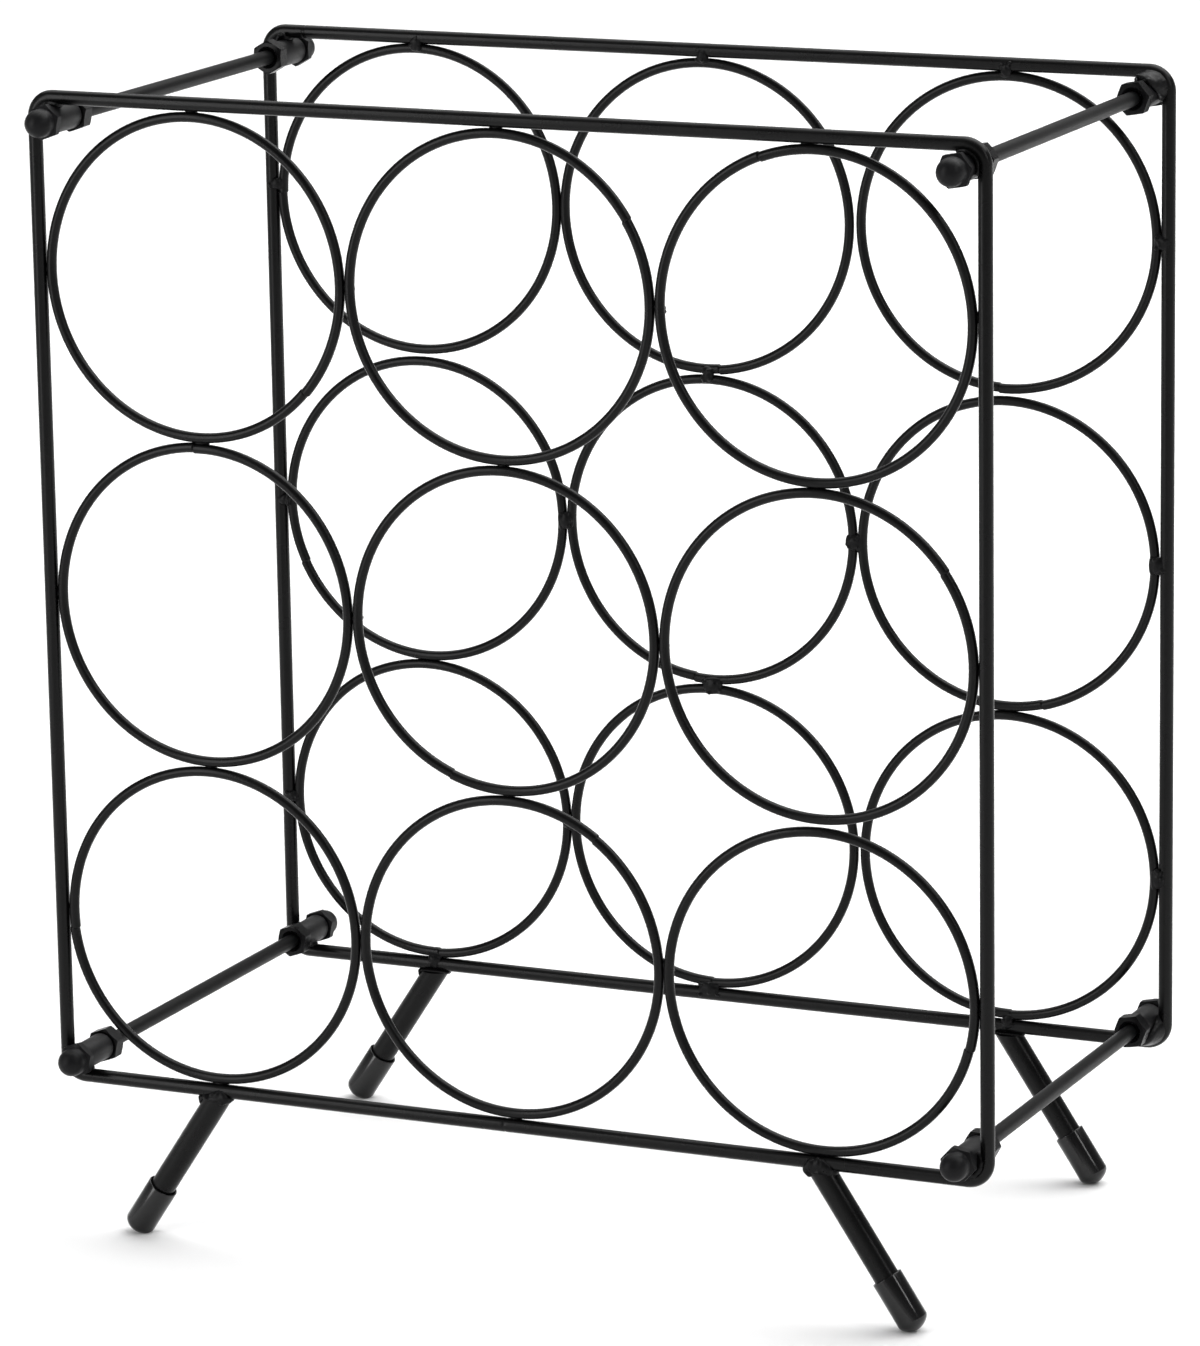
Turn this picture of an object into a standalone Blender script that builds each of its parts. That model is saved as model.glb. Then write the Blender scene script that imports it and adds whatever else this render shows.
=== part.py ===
# Nine-bottle wire wine rack: two welded wire panels, front and back, held apart by four tie
# rods and standing on four splayed legs with push-on foot caps. Bottles lie along Y through
# the rings of both panels. Metres, +Z up, the front faces -Y, the floor is z = 0.
import math

import bmesh
import bpy
from mathutils import Matrix, Vector

# ---- Overall sizes
rail_span = 0.2955  # centreline to centreline of opposite rails of a panel, both ways
panel_spread = 0.149  # plane of the front panel to plane of the back panel
foot_drop = 0.0471  # floor to the centreline of the bottom rail

# ---- Wire panels
rail_wire = 0.0042
ring_wire = 0.003
ring_count = 3  # rings per row and per column
bend_radius = 0.006  # rail centreline at each rounded corner
bead_wire = 0.0019  # weld bead between two neighbouring wires
bead_length = 0.005
bead_bite = 0.0004  # how far a bead is sunk in its own ring
# Contacts with no bead: panel, row and column of the ring, and where on the ring.
bare_contacts = {
    ("front", 1, 3, "top"),
    ("back", 1, 1, "top"),
    ("back", 1, 2, "right"),
    ("back", 1, 3, "top"),
    ("back", 2, 1, "top"),
    ("back", 2, 3, "top"),
    ("back", 3, 1, "right"),
    ("back", 3, 2, "right"),
}

# ---- Corner fasteners
rod_wire = 0.0045
collar_wall = 0.0015
collar_length = 0.0136
collar_proud = 0.0044  # how far a collar stands out in front of its panel's plane
nut_flats = 0.0093
nut_height = 0.0046
cap_nut_height = 0.009
cap_nut_hex = 0.0027  # height of the hexagonal base below the dome
cap_nut_dome = 0.0082
hex_chamfer = 0.0005
countersink = 0.0007
thread_grip = 0.0055  # length of rod inside a cap nut
nut_turns = [20, 10, 20, 0, 30, 10, 20, 10]  # degrees each corner's pair of nuts is turned

# ---- Legs and foot caps
leg_bar = 0.0075
leg_splay = math.radians(33.5)
cap_wall = 0.00055
cap_length = 0.0174
cap_sole = 0.0025  # rubber under the end of the leg
cap_flat = 0.0014  # flat at the tip of the rounded end
cap_crush = 0.0004  # worn off the rounded end where it stands on the floor

# ---- Fits
contact_gap = 0.0003  # clearance left between two pieces that bear on each other

# ---- Derived sizes
ring_outer = (rail_span - rail_wire - (ring_count + 1) * contact_gap) / ring_count
ring_pitch = ring_outer + contact_gap
ring_radius = (ring_outer - ring_wire) / 2
bore_radius = rod_wire / 2 + contact_gap
collar_outer = 2 * (bore_radius + collar_wall)
corner_inset = rail_wire / 2 + contact_gap + collar_outer / 2
corner_offset = rail_span / 2 - corner_inset
panel_middle = foot_drop + rail_span / 2
nut_corner = nut_flats / math.sqrt(3)
collar_front = panel_spread / 2 + collar_proud
collar_back = collar_front - collar_length
cap_nut_seat = collar_front + contact_gap
nut_seat = collar_back - contact_gap
rod_half = cap_nut_seat + thread_grip
cap_inner = leg_bar / 2 + contact_gap
cap_outer = 2 * (cap_inner + cap_wall)

ring_segments = 32
wire_sides = 8
bead_sides = 6
lathe_steps = 18
dome_steps = 4


# ---- Scene
def clear_scene():
    for obj in list(bpy.data.objects):
        bpy.data.objects.remove(obj, do_unlink=True)


def new_collection(name, hidden=False):
    collection = bpy.data.collections.new(name)
    bpy.context.scene.collection.children.link(collection)
    collection.hide_render = hidden
    return collection


def finish_of(name, colour, roughness, metallic):
    material = bpy.data.materials.new(name)
    material.use_nodes = True
    shader = material.node_tree.nodes["Principled BSDF"]
    shader.inputs["Base Color"].default_value = (*colour, 1)
    shader.inputs["Roughness"].default_value = roughness
    shader.inputs["Metallic"].default_value = metallic
    return material


def powder_coat(name):
    return finish_of(name + "_coat", (0.022, 0.022, 0.023), 0.42, 0.0)


def black_zinc(name):
    return finish_of(name + "_zinc", (0.035, 0.035, 0.037), 0.32, 0.7)


def black_vinyl(name):
    return finish_of(name + "_vinyl", (0.014, 0.014, 0.015), 0.28, 0.0)


def place(name, data, material, matrix):
    obj = bpy.data.objects.new(name, data)
    obj.matrix_world = matrix
    obj.data.materials.clear()
    obj.data.materials.append(material)
    rack.objects.link(obj)
    return obj


def cutter(name, mesh, matrix=None):
    obj = bpy.data.objects.new(name, mesh)
    obj.matrix_world = matrix or Matrix()
    obj.hide_render = True
    obj.display_type = "WIRE"
    cutters.objects.link(obj)
    return obj


def evaluated_mesh(obj):
    bpy.context.view_layer.update()
    graph = bpy.context.evaluated_depsgraph_get()
    return bpy.data.meshes.new_from_object(obj.evaluated_get(graph), depsgraph=graph)


def add_boolean(obj, other, operation):
    modifier = obj.modifiers.new(operation.lower(), "BOOLEAN")
    modifier.operation = operation
    modifier.solver = "EXACT"
    modifier.object = other


# ---- Basic solids
def lathe(name, profile, steps=lathe_steps, closed=False):
    # Revolves (radius, height) points round Z. The list runs down the outside of the shape.
    mesh = bpy.data.meshes.new(name)
    edges = [(i, i + 1) for i in range(len(profile) - 1)]
    if closed:
        edges.append((len(profile) - 1, 0))
    mesh.from_pydata([(radius, 0, height) for radius, height in profile], edges, [])
    obj = cutter(name, mesh)
    screw = obj.modifiers.new("lathe", "SCREW")
    screw.axis = "Z"
    screw.steps = steps
    screw.render_steps = steps
    screw.use_merge_vertices = True
    screw.merge_threshold = 0.00001
    return obj


def rods_mesh(name, rods, radius, sides):
    # One mesh of round bars, each given by its two ends.
    mesh = bpy.data.meshes.new(name)
    shape = bmesh.new()
    for start, end in rods:
        along = end - start
        turn = along.to_track_quat("Z", "Y").to_matrix().to_4x4()
        matrix = Matrix.Translation((start + end) / 2) @ turn
        bmesh.ops.create_cone(
            shape,
            cap_ends=True,
            segments=sides,
            radius1=radius,
            radius2=radius,
            depth=along.length,
            matrix=matrix,
        )
    shape.to_mesh(mesh)
    shape.free()
    return mesh


def hex_prism(name, height):
    mesh = bpy.data.meshes.new(name)
    shape = bmesh.new()
    bmesh.ops.create_cone(
        shape,
        cap_ends=True,
        segments=6,
        radius1=nut_corner,
        radius2=nut_corner,
        depth=2 * height,
    )
    shape.to_mesh(mesh)
    shape.free()
    return cutter(name, mesh)


def box(name, low, high):
    mesh = bpy.data.meshes.new(name)
    shape = bmesh.new()
    bmesh.ops.create_cube(shape, size=1)
    size = Vector(high) - Vector(low)
    middle = (Vector(high) + Vector(low)) / 2
    bmesh.ops.transform(
        shape,
        matrix=Matrix.Translation(middle) @ Matrix.Diagonal((*size, 1)),
        verts=shape.verts,
    )
    shape.to_mesh(mesh)
    shape.free()
    return cutter(name, mesh)


# ---- Panel frames
def frame_path():
    # Square of wire with four bent corners, in the XZ plane round the origin.
    half = rail_span / 2 - bend_radius
    points = []
    for quarter in range(4):
        middle = math.radians(45 + 90 * quarter)
        centre = Vector((math.copysign(half, math.cos(middle)), math.copysign(half, math.sin(middle))))
        for step in range(6):
            angle = math.radians(90 * quarter + 18 * step)
            points.append(centre + bend_radius * Vector((math.cos(angle), math.sin(angle))))
    return points


def build_frame(side, y):
    curve = bpy.data.curves.new(side + "_frame", "CURVE")
    curve.dimensions = "3D"
    curve.bevel_depth = rail_wire / 2
    curve.bevel_resolution = 2
    spline = curve.splines.new("POLY")
    path = frame_path()
    spline.points.add(len(path) - 1)
    for point, (x, z) in zip(spline.points, path):
        point.co = (x, 0, z, 1)
    spline.use_cyclic_u = True
    name = side + "_frame"
    place(name, curve, powder_coat(name), Matrix.Translation((0, y, panel_middle)))


# ---- Bottle rings
def bead_position(neighbour_wire):
    # Where a bead lies in the valley between a ring and its neighbour: outwards from the
    # ring's wire, and inwards across the panel.
    between = ring_wire / 2 + contact_gap + neighbour_wire / 2
    to_own = ring_wire / 2 + bead_wire / 2 - bead_bite
    to_other = neighbour_wire / 2 + bead_wire / 2 + contact_gap
    outwards = (between**2 + to_own**2 - to_other**2) / (2 * between)
    return outwards, math.sqrt(to_own**2 - outwards**2)


def ring_beads(side, column, row, inwards):
    # A ring carries the beads on its right and top, and those to the rail on its other sides.
    last = ring_count - 1
    sides = []
    if (side, row + 1, column + 1, "right") not in bare_contacts:
        sides.append(((1, 0), column == last))
    if (side, row + 1, column + 1, "top") not in bare_contacts:
        sides.append(((0, 1), row == last))
    if column == 0:
        sides.append(((-1, 0), True))
    if row == 0:
        sides.append(((0, -1), True))
    beads = []
    for (x, z), rail in sides:
        outwards, across = bead_position(rail_wire if rail else ring_wire)
        reach = ring_radius + outwards
        middle = Vector((x * reach, inwards * across, z * reach))
        along = Vector((z, 0, x)) * bead_length / 2
        beads.append((middle - along, middle + along))
    return beads


def build_ring(side, y, column, row):
    name = f"{side}_ring_{row + 1}{column + 1}"
    bpy.ops.mesh.primitive_torus_add(
        major_segments=ring_segments,
        minor_segments=wire_sides,
        major_radius=ring_radius,
        minor_radius=ring_wire / 2,
    )
    ring = bpy.context.object
    for holder in list(ring.users_collection):
        holder.objects.unlink(ring)
    rack.objects.link(ring)
    ring.name = name
    ring.data.transform(Matrix.Rotation(math.radians(90), 4, "X"))
    x = (column - (ring_count - 1) / 2) * ring_pitch
    z = panel_middle + (row - (ring_count - 1) / 2) * ring_pitch
    ring.location = (x, y, z)
    ring.data.materials.append(powder_coat(name))
    beads = ring_beads(side, column, row, -math.copysign(1, y))
    mesh = rods_mesh(name + "_beads", beads, bead_wire / 2, bead_sides)
    add_boolean(ring, cutter(name + "_beads", mesh, Matrix.Translation((x, y, z))), "UNION")


# ---- Corner fasteners
def collar_profile():
    outer = collar_outer / 2
    half = collar_length / 2
    return [(outer, half), (outer, -half), (bore_radius, -half), (bore_radius, half)]


def nut_profile():
    # Full corners in the middle of the height, chamfered to a circle on both faces.
    half = nut_height / 2
    face = nut_flats / 2 * 0.97
    wide = nut_corner * 1.02
    sunk = bore_radius + countersink
    return [
        (face, half),
        (wide, half - hex_chamfer * 1.4),
        (wide, -half + hex_chamfer * 1.4),
        (face, -half),
        (sunk, -half),
        (bore_radius, -half + countersink),
        (bore_radius, half - countersink),
        (sunk, half),
    ]


def cap_nut_profile():
    # Blind threaded hexagon with a dome, its seat at height 0.
    dome = cap_nut_dome / 2
    face = nut_flats / 2 * 0.97
    wide = nut_corner * 1.02
    shoulder = cap_nut_height - dome
    points = []
    for step in range(dome_steps + 1):
        angle = math.radians(90 - 90 * step / dome_steps)
        points.append((dome * math.cos(angle), shoulder + dome * math.sin(angle)))
    points[0] = (0, cap_nut_height)
    return points + [
        (dome, cap_nut_hex + 0.0001),
        (face, cap_nut_hex),
        (wide, cap_nut_hex - hex_chamfer),
        (wide, hex_chamfer),
        (face, 0),
        (bore_radius + countersink, 0),
        (bore_radius, countersink),
        (bore_radius, thread_grip + contact_gap),
        (0, thread_grip + contact_gap + bore_radius / 2),
    ]


def hexed(obj, height):
    add_boolean(obj, hex_prism(obj.name + "_hexagon", height), "INTERSECT")
    return evaluated_mesh(obj)


def outward(front):
    # Turns local +Z to face away from the rack: -Y on the front panel, +Y on the back one.
    return Matrix.Rotation(math.radians(90 if front else -90), 4, "X")


def build_fasteners():
    collar_mesh = evaluated_mesh(lathe("collar_shape", collar_profile(), closed=True))
    nut_mesh = hexed(lathe("nut_shape", nut_profile(), closed=True), nut_height)
    cap_nut_mesh = hexed(lathe("cap_nut_shape", cap_nut_profile()), cap_nut_height * 1.2)
    corners = [("top_left", -1, 1), ("top_right", 1, 1), ("bottom_left", -1, -1), ("bottom_right", 1, -1)]
    turns = iter(nut_turns)
    for side, sign in (("front", -1), ("back", 1)):
        for corner, right, up in corners:
            x = right * corner_offset
            z = panel_middle + up * corner_offset
            facing = outward(side == "front")
            spin = Matrix.Rotation(math.radians(-sign * next(turns)), 4, "Z")
            name = f"{side}_collar_{corner}"
            middle = Vector((x, sign * (collar_front + collar_back) / 2, z))
            place(name, collar_mesh.copy(), powder_coat(name), Matrix.Translation(middle) @ facing)
            name = f"{side}_lock_nut_{corner}"
            middle = Vector((x, sign * (nut_seat - nut_height / 2), z))
            place(name, nut_mesh.copy(), black_zinc(name), Matrix.Translation(middle) @ facing @ spin)
            name = f"{side}_cap_nut_{corner}"
            seat = Vector((x, sign * cap_nut_seat, z))
            place(name, cap_nut_mesh.copy(), black_zinc(name), Matrix.Translation(seat) @ facing @ spin)
    for corner, right, up in corners:
        name = f"tie_rod_{corner}"
        radius = rod_wire / 2
        rim = radius - contact_gap
        profile = [(0, rod_half), (rim, rod_half), (radius, rod_half - contact_gap)]
        profile += [(r, -h) for r, h in reversed(profile)]
        mesh = evaluated_mesh(lathe(name + "_shape", profile, steps=16))
        middle = Vector((right * corner_offset, 0, panel_middle + up * corner_offset))
        place(name, mesh, powder_coat(name), Matrix.Translation(middle) @ outward(True))


# ---- Legs
def cap_profile():
    # Closed tube with a rounded end, its tip at height 0 and its rim at the top.
    outer = cap_outer / 2
    edge = outer - cap_flat / 2
    points = [(0, cap_sole), (cap_inner, cap_sole), (cap_inner, cap_length), (outer, cap_length)]
    for step in range(dome_steps + 1):
        angle = math.radians(90 * step / dome_steps)
        points.append((cap_flat / 2 + edge * math.cos(angle), edge - edge * math.sin(angle)))
    return [*points, (0, 0)]


def leg_frame(right, y):
    # A leg's own axes: the tip of its cap at the origin, +Z up the bar.
    edge = cap_outer / 2 - cap_flat / 2
    lowest = edge * (math.cos(leg_splay) - 1) - cap_flat / 2 * math.sin(leg_splay)
    tip_z = -cap_crush - lowest
    root_z = foot_drop - rail_wire / 2
    tip_x = ring_pitch + (root_z - tip_z) * math.tan(leg_splay)
    return Matrix.Translation((right * tip_x, y, tip_z)) @ Matrix.Rotation(-right * leg_splay, 4, "Y")


def build_leg(side, y, hand, right, floor, under_rail):
    matrix = leg_frame(right, y)
    name = f"{side}_leg_{hand}"
    length = foot_drop / math.cos(leg_splay) + leg_bar
    bar = rods_mesh(
        name,
        [(Vector((0, 0, cap_sole + contact_gap)), Vector((0, 0, length)))],
        leg_bar / 2,
        20,
    )
    leg = place(name, bar, powder_coat(name), matrix)
    add_boolean(leg, under_rail, "DIFFERENCE")
    name = f"{side}_foot_cap_{hand}"
    cap = place(name, evaluated_mesh(foot_cap), black_vinyl(name), matrix)
    add_boolean(cap, floor, "DIFFERENCE")


clear_scene()
rack = new_collection("WineRack")
cutters = new_collection("Cutters", hidden=True)

for side_name, side_y in (("front", -panel_spread / 2), ("back", panel_spread / 2)):
    build_frame(side_name, side_y)
    for ring_row in range(ring_count):
        for ring_column in range(ring_count):
            build_ring(side_name, side_y, ring_column, ring_row)

build_fasteners()

foot_cap = lathe("foot_cap_shape", cap_profile())
floor_cut = box("floor_cut", (-0.3, -0.3, -0.05), (0.3, 0.3, 0))
rail_cut = box(
    "under_rail_cut",
    (-0.3, -0.3, foot_drop - rail_wire / 2 - contact_gap),
    (0.3, 0.3, foot_drop + 0.1),
)
for side_name, side_y in (("front", -panel_spread / 2), ("back", panel_spread / 2)):
    for hand_name, hand_sign in (("left", -1), ("right", 1)):
        build_leg(side_name, side_y, hand_name, hand_sign, floor_cut, rail_cut)
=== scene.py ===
import math
import random

import bmesh
import bpy
from mathutils import Matrix, Vector


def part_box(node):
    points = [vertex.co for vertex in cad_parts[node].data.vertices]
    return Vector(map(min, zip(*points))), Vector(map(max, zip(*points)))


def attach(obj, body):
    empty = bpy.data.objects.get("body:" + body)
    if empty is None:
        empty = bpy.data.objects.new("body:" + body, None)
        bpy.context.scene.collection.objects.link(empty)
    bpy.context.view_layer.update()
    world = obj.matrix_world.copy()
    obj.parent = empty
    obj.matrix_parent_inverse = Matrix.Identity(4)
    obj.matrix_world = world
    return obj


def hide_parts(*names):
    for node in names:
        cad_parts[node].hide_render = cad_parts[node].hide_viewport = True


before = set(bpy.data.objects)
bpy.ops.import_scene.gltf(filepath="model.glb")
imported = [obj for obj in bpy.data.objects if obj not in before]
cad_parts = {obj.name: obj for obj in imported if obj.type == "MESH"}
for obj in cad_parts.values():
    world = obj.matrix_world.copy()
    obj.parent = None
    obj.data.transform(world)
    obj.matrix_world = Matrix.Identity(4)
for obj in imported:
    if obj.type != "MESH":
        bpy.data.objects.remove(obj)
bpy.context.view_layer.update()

random.seed(9)

panelSides = ("front", "back")
cornerNames = ("top_left", "top_right", "bottom_left", "bottom_right")
outwardY = {"front": -1, "back": 1}
ringRows = (1, 2, 3)      # rows count from the bottom, columns from the left


# small helpers
def cadCentre(node):
    low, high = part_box(node)
    return (low + high) / 2


def addPiece(name, mesh, material, node=None, smooth=None):
    piece = bpy.data.objects.new(name, mesh)
    bpy.context.scene.collection.objects.link(piece)
    mesh.materials.append(material)
    for face in mesh.polygons:
        face.use_smooth = True
    if smooth is not None:
        mesh.set_sharp_from_angle(angle=math.radians(smooth))
    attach(piece, "root")
    if node:
        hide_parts(node)
    return piece


def meshFrom(name, vertices, faces):
    mesh = bpy.data.meshes.new(name)
    mesh.from_pydata(vertices, [], faces)
    mesh.validate()
    return mesh


def faceOutward(mesh):
    # turns every face to the outside of its closed body
    shape = bmesh.new()
    shape.from_mesh(mesh)
    bmesh.ops.recalc_face_normals(shape, faces=shape.faces)
    shape.to_mesh(mesh)
    shape.free()
    return mesh


def loftRings(name, rings, capped=True):
    # rings of points joined by quads, or by a fan where one of two neighbours is a single point
    vertices, faces = [], []
    starts = []
    for ring in rings:
        starts.append((len(vertices), len(ring)))
        vertices.extend(ring)
    for (a, countA), (b, countB) in zip(starts, starts[1:]):
        for i in range(max(countA, countB)):
            j = (i + 1) % max(countA, countB)
            if countA == 1:
                faces.append((a, b + i, b + j))
            elif countB == 1:
                faces.append((a + i, b, a + j))
            else:
                faces.append((a + i, b + i, b + j, a + j))
    if capped:
        lastStart, lastCount = starts[-1]
        faces.append(tuple(range(len(rings[0]))))
        faces.append(tuple(reversed(range(lastStart, lastStart + lastCount))))
    return faceOutward(meshFrom(name, vertices, faces))


def circleRing(radius, height, steps):
    angles = [2 * math.pi * k / steps for k in range(steps)]
    return [Vector((radius * math.cos(a), radius * math.sin(a), height)) for a in angles]


def wireLoop(name, points, radii, sides):
    # closed wire in the XZ plane, swept along its points with a radius at each
    count = len(points)
    sideways = Vector((0, 1, 0))
    vertices, faces = [], []
    for i, point in enumerate(points):
        along = (points[(i + 1) % count] - points[i - 1]).normalized()
        outward = along.cross(sideways).normalized()
        for k in range(sides):
            angle = 2 * math.pi * k / sides
            vertices.append(point + radii[i] * (math.cos(angle) * outward + math.sin(angle) * sideways))
    for i in range(count):
        a, b = i * sides, (i + 1) % count * sides
        for k in range(sides):
            j = (k + 1) % sides
            faces.append((a + k, b + k, b + j, a + j))
    return faceOutward(meshFrom(name, vertices, faces))


def placeMesh(mesh, matrix):
    mesh.transform(matrix)
    return mesh


def joinMeshes(name, meshes):
    shape = bmesh.new()
    for mesh in meshes:
        shape.from_mesh(mesh)
    joined = bpy.data.meshes.new(name)
    shape.to_mesh(joined)
    shape.free()
    return joined


puddleLook = {
    "ballDetail": 3,      # subdivisions of the balls that are run together
    "softness": 0.6,
}
noTurn = Matrix.Identity(4)


def jitter(spread):
    return random.uniform(-spread, spread)


def weldMetal(name, lumps, grain, rounds):
    # runs overlapping ellipsoids together into one puddle: lumps hold a centre, a size and a turn
    shape = bmesh.new()
    for centre, size, turn in lumps:
        stretch = Matrix.Diagonal((size[0] / 2, size[1] / 2, size[2] / 2, 1))
        matrix = Matrix.Translation(centre) @ turn @ stretch
        bmesh.ops.create_icosphere(shape, subdivisions=puddleLook["ballDetail"], radius=1, matrix=matrix)
    mesh = bpy.data.meshes.new(name)
    shape.to_mesh(mesh)
    shape.free()
    body = bpy.data.objects.new(name, mesh)
    bpy.context.scene.collection.objects.link(body)
    remesh = body.modifiers.new("puddle", "REMESH")
    remesh.mode = "VOXEL"
    remesh.voxel_size = grain
    soften = body.modifiers.new("soften", "SMOOTH")
    soften.factor = puddleLook["softness"]
    soften.iterations = rounds
    graph = bpy.context.evaluated_depsgraph_get()
    puddle = bpy.data.meshes.new_from_object(body.evaluated_get(graph))
    bpy.data.objects.remove(body)
    puddle.name = name
    puddle.materials.clear()
    return puddle


# effects shared by the finishes
def newGroup(name, inputs, outputs):
    group = bpy.data.node_groups.new(name, "ShaderNodeTree")
    for label, kind, value in inputs:
        socket = group.interface.new_socket(name=label, in_out="INPUT", socket_type=kind)
        socket.default_value = value
    for label, kind in outputs:
        group.interface.new_socket(name=label, in_out="OUTPUT", socket_type=kind)
    return group, group.nodes.new("NodeGroupInput"), group.nodes.new("NodeGroupOutput")


def mathNode(group, operation, first, second):
    node = group.nodes.new("ShaderNodeMath")
    node.operation = operation
    for socket, value in zip(node.inputs, (first, second)):
        if isinstance(value, (int, float)):
            socket.default_value = value
        else:
            group.links.new(value, socket)
    return node.outputs[0]


def orangePeelGroup():
    # the fine rolling skin of a sprayed or dipped coat, and its slow change of shade
    group, given, result = newGroup(
        "orangePeel",
        [("peelSize", "NodeSocketFloat", 900.0), ("patchSize", "NodeSocketFloat", 60.0)],
        [("height", "NodeSocketFloat"), ("patch", "NodeSocketFloat")],
    )
    place = group.nodes.new("ShaderNodeTexCoord")
    peel = group.nodes.new("ShaderNodeTexNoise")
    peel.inputs["Detail"].default_value = 2
    peel.inputs["Roughness"].default_value = 0.45
    patch = group.nodes.new("ShaderNodeTexNoise")
    patch.inputs["Detail"].default_value = 3
    for texture, size in ((peel, "peelSize"), (patch, "patchSize")):
        group.links.new(place.outputs["Object"], texture.inputs["Vector"])
        group.links.new(given.outputs[size], texture.inputs["Scale"])
    group.links.new(peel.outputs["Fac"], result.inputs["height"])
    group.links.new(patch.outputs["Fac"], result.inputs["patch"])
    return group


def fineSpeckGroup():
    # scattered grains standing in the coat
    group, given, result = newGroup(
        "fineSpeck",
        [("grainSize", "NodeSocketFloat", 2500.0), ("amount", "NodeSocketFloat", 0.5)],
        [("grain", "NodeSocketFloat")],
    )
    place = group.nodes.new("ShaderNodeTexCoord")
    grain = group.nodes.new("ShaderNodeTexVoronoi")
    group.links.new(place.outputs["Object"], grain.inputs["Vector"])
    group.links.new(given.outputs["grainSize"], grain.inputs["Scale"])
    grainRadius = 0.22      # as a share of the spacing
    near = mathNode(group, "LESS_THAN", grain.outputs["Distance"], grainRadius)
    group.links.new(mathNode(group, "MULTIPLY", near, given.outputs["amount"]), result.inputs["grain"])
    return group


orangePeel = orangePeelGroup()
fineSpeck = fineSpeckGroup()
patchRange = (0.3, 0.7)      # where nearly all of the patch noise lies


def coatMaterial(name, look):
    material = bpy.data.materials.new(name)
    material.use_nodes = True
    tree = material.node_tree
    shader = tree.nodes["Principled BSDF"]
    shader.inputs["Metallic"].default_value = look["metallic"]
    shader.inputs["IOR"].default_value = look["ior"]
    peel = tree.nodes.new("ShaderNodeGroup")
    peel.node_tree = orangePeel
    peel.inputs["peelSize"].default_value = look["peelSize"]
    peel.inputs["patchSize"].default_value = look["patchSize"]
    speck = tree.nodes.new("ShaderNodeGroup")
    speck.node_tree = fineSpeck
    speck.inputs["grainSize"].default_value = look["grainSize"]
    speck.inputs["amount"].default_value = look["grainAmount"]
    shade = tree.nodes.new("ShaderNodeMix")
    shade.data_type = "RGBA"
    shade.inputs["A"].default_value = (*look["dark"], 1)
    shade.inputs["B"].default_value = (*look["light"], 1)
    tree.links.new(peel.outputs["patch"], shade.inputs["Factor"])
    tree.links.new(shade.outputs["Result"], shader.inputs["Base Color"])
    rough = tree.nodes.new("ShaderNodeMapRange")
    rough.inputs["From Min"].default_value = patchRange[0]
    rough.inputs["From Max"].default_value = patchRange[1]
    rough.inputs["To Min"].default_value = look["roughness"][0]
    rough.inputs["To Max"].default_value = look["roughness"][1]
    tree.links.new(peel.outputs["patch"], rough.inputs["Value"])
    tree.links.new(rough.outputs["Result"], shader.inputs["Roughness"])
    height = tree.nodes.new("ShaderNodeMath")
    height.operation = "ADD"
    tree.links.new(peel.outputs["height"], height.inputs[0])
    tree.links.new(speck.outputs["grain"], height.inputs[1])
    bump = tree.nodes.new("ShaderNodeBump")
    bump.inputs["Strength"].default_value = look["bump"]
    bump.inputs["Distance"].default_value = look["bumpDepth"]
    tree.links.new(height.outputs[0], bump.inputs["Height"])
    tree.links.new(bump.outputs["Normal"], shader.inputs["Normal"])
    return material


wireCoat = coatMaterial("wireCoat", {
    "dark": (0.0014, 0.0014, 0.0015),
    "light": (0.0028, 0.0028, 0.0029),
    "metallic": 0.0,
    "ior": 1.26,
    "roughness": (0.25, 0.31),
    "peelSize": 1500,
    "patchSize": 90,
    "grainSize": 2600,
    "grainAmount": 0.3,
    "bump": 0.2,
    "bumpDepth": 0.0001,
})
rodCoat = coatMaterial("rodCoat", {
    "dark": (0.0035, 0.0035, 0.0037),
    "light": (0.0055, 0.0055, 0.0057),
    "metallic": 0.0,
    "ior": 1.2,
    "roughness": (0.36, 0.42),
    "peelSize": 1700,
    "patchSize": 70,
    "grainSize": 3000,
    "grainAmount": 0.15,
    "bump": 0.15,
    "bumpDepth": 0.0001,
})
collarCoat = coatMaterial("collarCoat", {
    "dark": (0.0046, 0.0046, 0.0050),
    "light": (0.0084, 0.0084, 0.0090),
    "metallic": 0.0,
    "ior": 1.27,
    "roughness": (0.40, 0.50),
    "peelSize": 1500,
    "patchSize": 160,
    "grainSize": 2400,
    "grainAmount": 0.3,
    "bump": 0.2,
    "bumpDepth": 0.0001,
})
weldCoat = coatMaterial("weldCoat", {
    "dark": (0.0026, 0.0026, 0.0028),
    "light": (0.0056, 0.0056, 0.0060),
    "metallic": 0.0,
    "ior": 1.22,
    "roughness": (0.26, 0.40),
    "peelSize": 900,
    "patchSize": 300,
    "grainSize": 1800,
    "grainAmount": 0.5,
    "bump": 0.35,
    "bumpDepth": 0.00015,
})
nutBlack = coatMaterial("nutBlack", {
    "dark": (0.0028, 0.0028, 0.0031),
    "light": (0.0050, 0.0050, 0.0054),
    "metallic": 0.0,
    "ior": 1.2,
    "roughness": (0.25, 0.34),
    "peelSize": 1400,
    "patchSize": 260,
    "grainSize": 2600,
    "grainAmount": 0.3,
    "bump": 0.25,
    "bumpDepth": 0.0001,
})
domeCoat = coatMaterial("domeCoat", {
    "dark": (0.0020, 0.0020, 0.0024),
    "light": (0.0088, 0.0088, 0.0096),
    "metallic": 0.0,
    "ior": 1.22,
    "roughness": (0.34, 0.50),
    "peelSize": 1300,
    "patchSize": 420,
    "grainSize": 2200,
    "grainAmount": 0.4,
    "bump": 0.3,
    "bumpDepth": 0.0001,
})
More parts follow.
